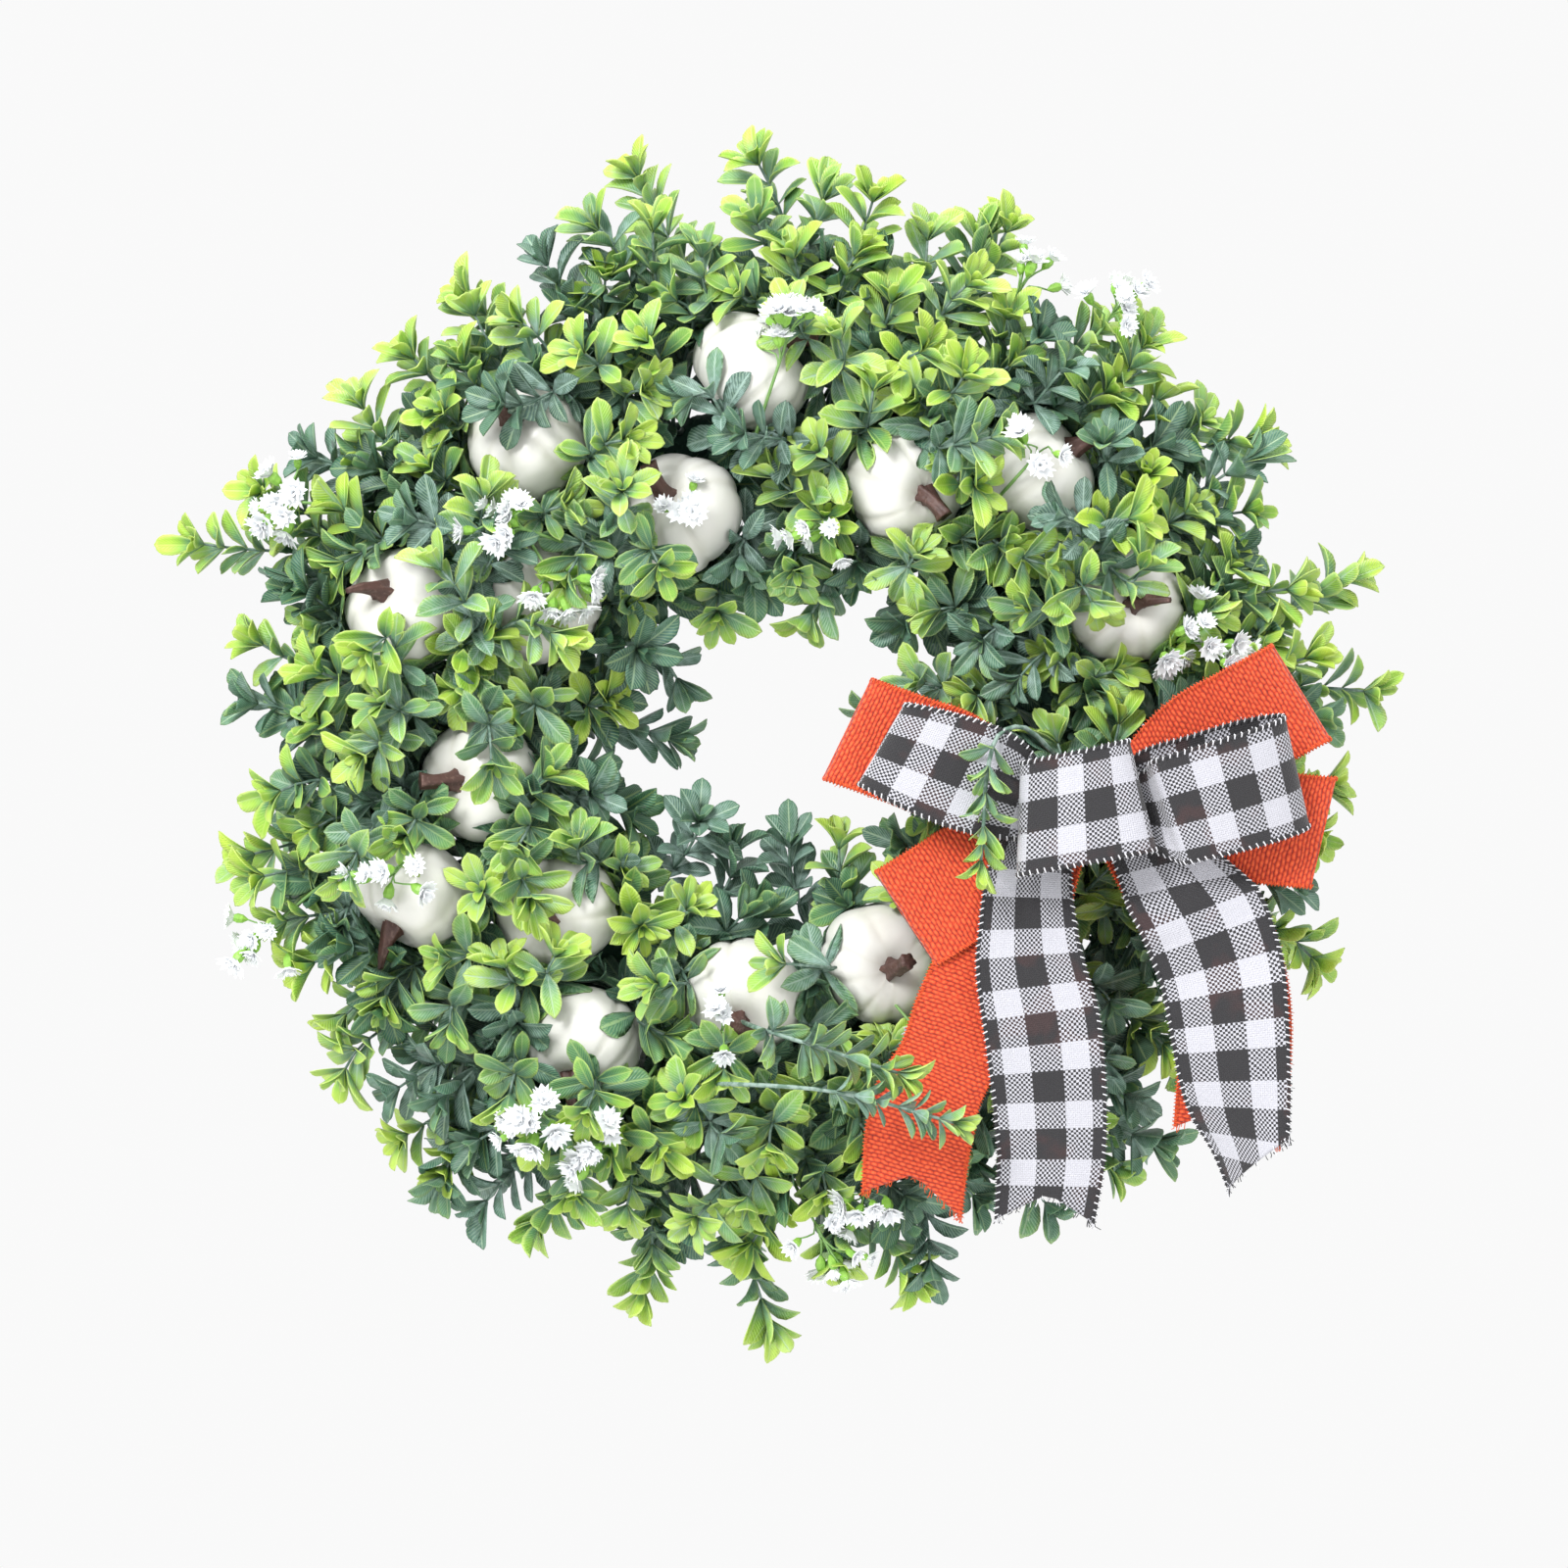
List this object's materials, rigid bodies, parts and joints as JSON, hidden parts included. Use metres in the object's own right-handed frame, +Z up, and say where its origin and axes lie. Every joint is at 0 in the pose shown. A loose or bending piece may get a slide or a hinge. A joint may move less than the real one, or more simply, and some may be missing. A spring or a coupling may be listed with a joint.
{
  "type": "harvest door wreath",
  "caption": "Round boxwood door wreath on a taped foam ring, with white mini pumpkins, small white filler flowers and a bow of burlap and checked ribbon.",
  "frame": {"origin": "inside of the crown of the wire hanging loop, where a hook or nail bears", "axes": "+X to the viewer's right, +Z up, -Y out of the wreath's face towards the viewer, +Y into the door"},
  "size_m": [0.447, 0.1145, 0.447],
  "materials": {
    "foam_core": "open-cell floral foam, matt green",
    "floral_tape": "dark green wrapped floral tape, matt",
    "hanger_wire": "green-black coated wire",
    "pumpkin_skin": "pearly off-white satin",
    "pumpkin_stalk": "brown, slightly purple",
    "boxwood_bright": "yellow-green soft plastic leaves, semi-matt",
    "boxwood_dark": "blue-green soft plastic leaves with a white frost",
    "filler_flower": "white florets on pale green stems",
    "burlap_ribbon": "orange-red open-weave burlap",
    "check_ribbon": "black and white buffalo check, twill woven"
  },
  "bodies": {
    "wreath": {"ring_core": "foam_core", "ring_wrap": "floral_tape", "hanger_strap": "floral_tape", "pumpkin_01": "pumpkin_skin", "pumpkin_02": "pumpkin_skin", "pumpkin_03": "pumpkin_skin", "pumpkin_04": "pumpkin_skin", "pumpkin_05": "pumpkin_skin", "pumpkin_06": "pumpkin_skin", "pumpkin_07": "pumpkin_skin", "pumpkin_08": "pumpkin_skin", "pumpkin_09": "pumpkin_skin", "pumpkin_10": "pumpkin_skin", "pumpkin_11": "pumpkin_skin", "pumpkin_12": "pumpkin_skin", "pumpkin_13": "pumpkin_skin", "pumpkin_14": "pumpkin_skin", "pumpkin_stem_01": "pumpkin_stalk", "pumpkin_stem_02": "pumpkin_stalk", "pumpkin_stem_03": "pumpkin_stalk", "pumpkin_stem_04": "pumpkin_stalk", "pumpkin_stem_05": "pumpkin_stalk", "pumpkin_stem_06": "pumpkin_stalk", "pumpkin_stem_07": "pumpkin_stalk", "pumpkin_stem_08": "pumpkin_stalk", "pumpkin_stem_09": "pumpkin_stalk", "pumpkin_stem_10": "pumpkin_stalk", "pumpkin_stem_11": "pumpkin_stalk", "pumpkin_stem_12": "pumpkin_stalk", "pumpkin_stem_13": "pumpkin_stalk", "pumpkin_stem_14": "pumpkin_stalk", "boxwood_outer_1": "boxwood_bright", "boxwood_outer_2": "boxwood_bright", "boxwood_outer_3": "boxwood_bright", "boxwood_outer_4": "boxwood_bright", "boxwood_outer_5": "boxwood_bright", "boxwood_outer_6": "boxwood_bright", "boxwood_outer_7": "boxwood_bright", "boxwood_outer_8": "boxwood_bright", "boxwood_inner_1": "boxwood_dark", "boxwood_inner_2": "boxwood_dark", "boxwood_inner_3": "boxwood_dark", "flower_spray_top": "filler_flower", "flower_spray_upper_left": "filler_flower", "flower_spray_lower_left": "filler_flower", "flower_spray_bottom": "filler_flower"},
    "hanger_loop": {"hanger_loop": "hanger_wire"},
    "bow": {"bow_knot": "check_ribbon", "bow_tie_wire": "hanger_wire", "burlap_loop_upper_left": "burlap_ribbon", "burlap_loop_upper_right": "burlap_ribbon", "burlap_loop_lower_left": "burlap_ribbon", "burlap_loop_lower_right": "burlap_ribbon", "check_loop_left": "check_ribbon", "check_loop_right": "check_ribbon", "check_loop_front": "check_ribbon"},
    "left_tails": {"check_tail_left": "check_ribbon", "burlap_tail_left": "burlap_ribbon"},
    "right_tails": {"check_tail_right": "check_ribbon", "burlap_tail_right": "burlap_ribbon"}
  },
  "joints": [
    {"name": "hanger_fold", "type": "hinge", "parent": "wreath", "child": "hanger_loop", "pos_m": [0, 0, -0.0115], "axis": [-1, 0, 0], "range_deg": [-85, 85]},
    {"name": "bow_swivel", "type": "hinge", "parent": "wreath", "child": "bow", "pos_m": [0.10917, -0.0355, -0.1658], "axis": [0, 1, 0], "range_deg": [-15, 15]},
    {"name": "left_tails_lift", "type": "hinge", "parent": "bow", "child": "left_tails", "pos_m": [0.09117, -0.087, -0.1898], "axis": [-1, 0, 0], "range_deg": [0, 60]},
    {"name": "right_tails_lift", "type": "hinge", "parent": "bow", "child": "right_tails", "pos_m": [0.14217, -0.087, -0.1898], "axis": [-1, 0, 0], "range_deg": [0, 60]}
  ]
}
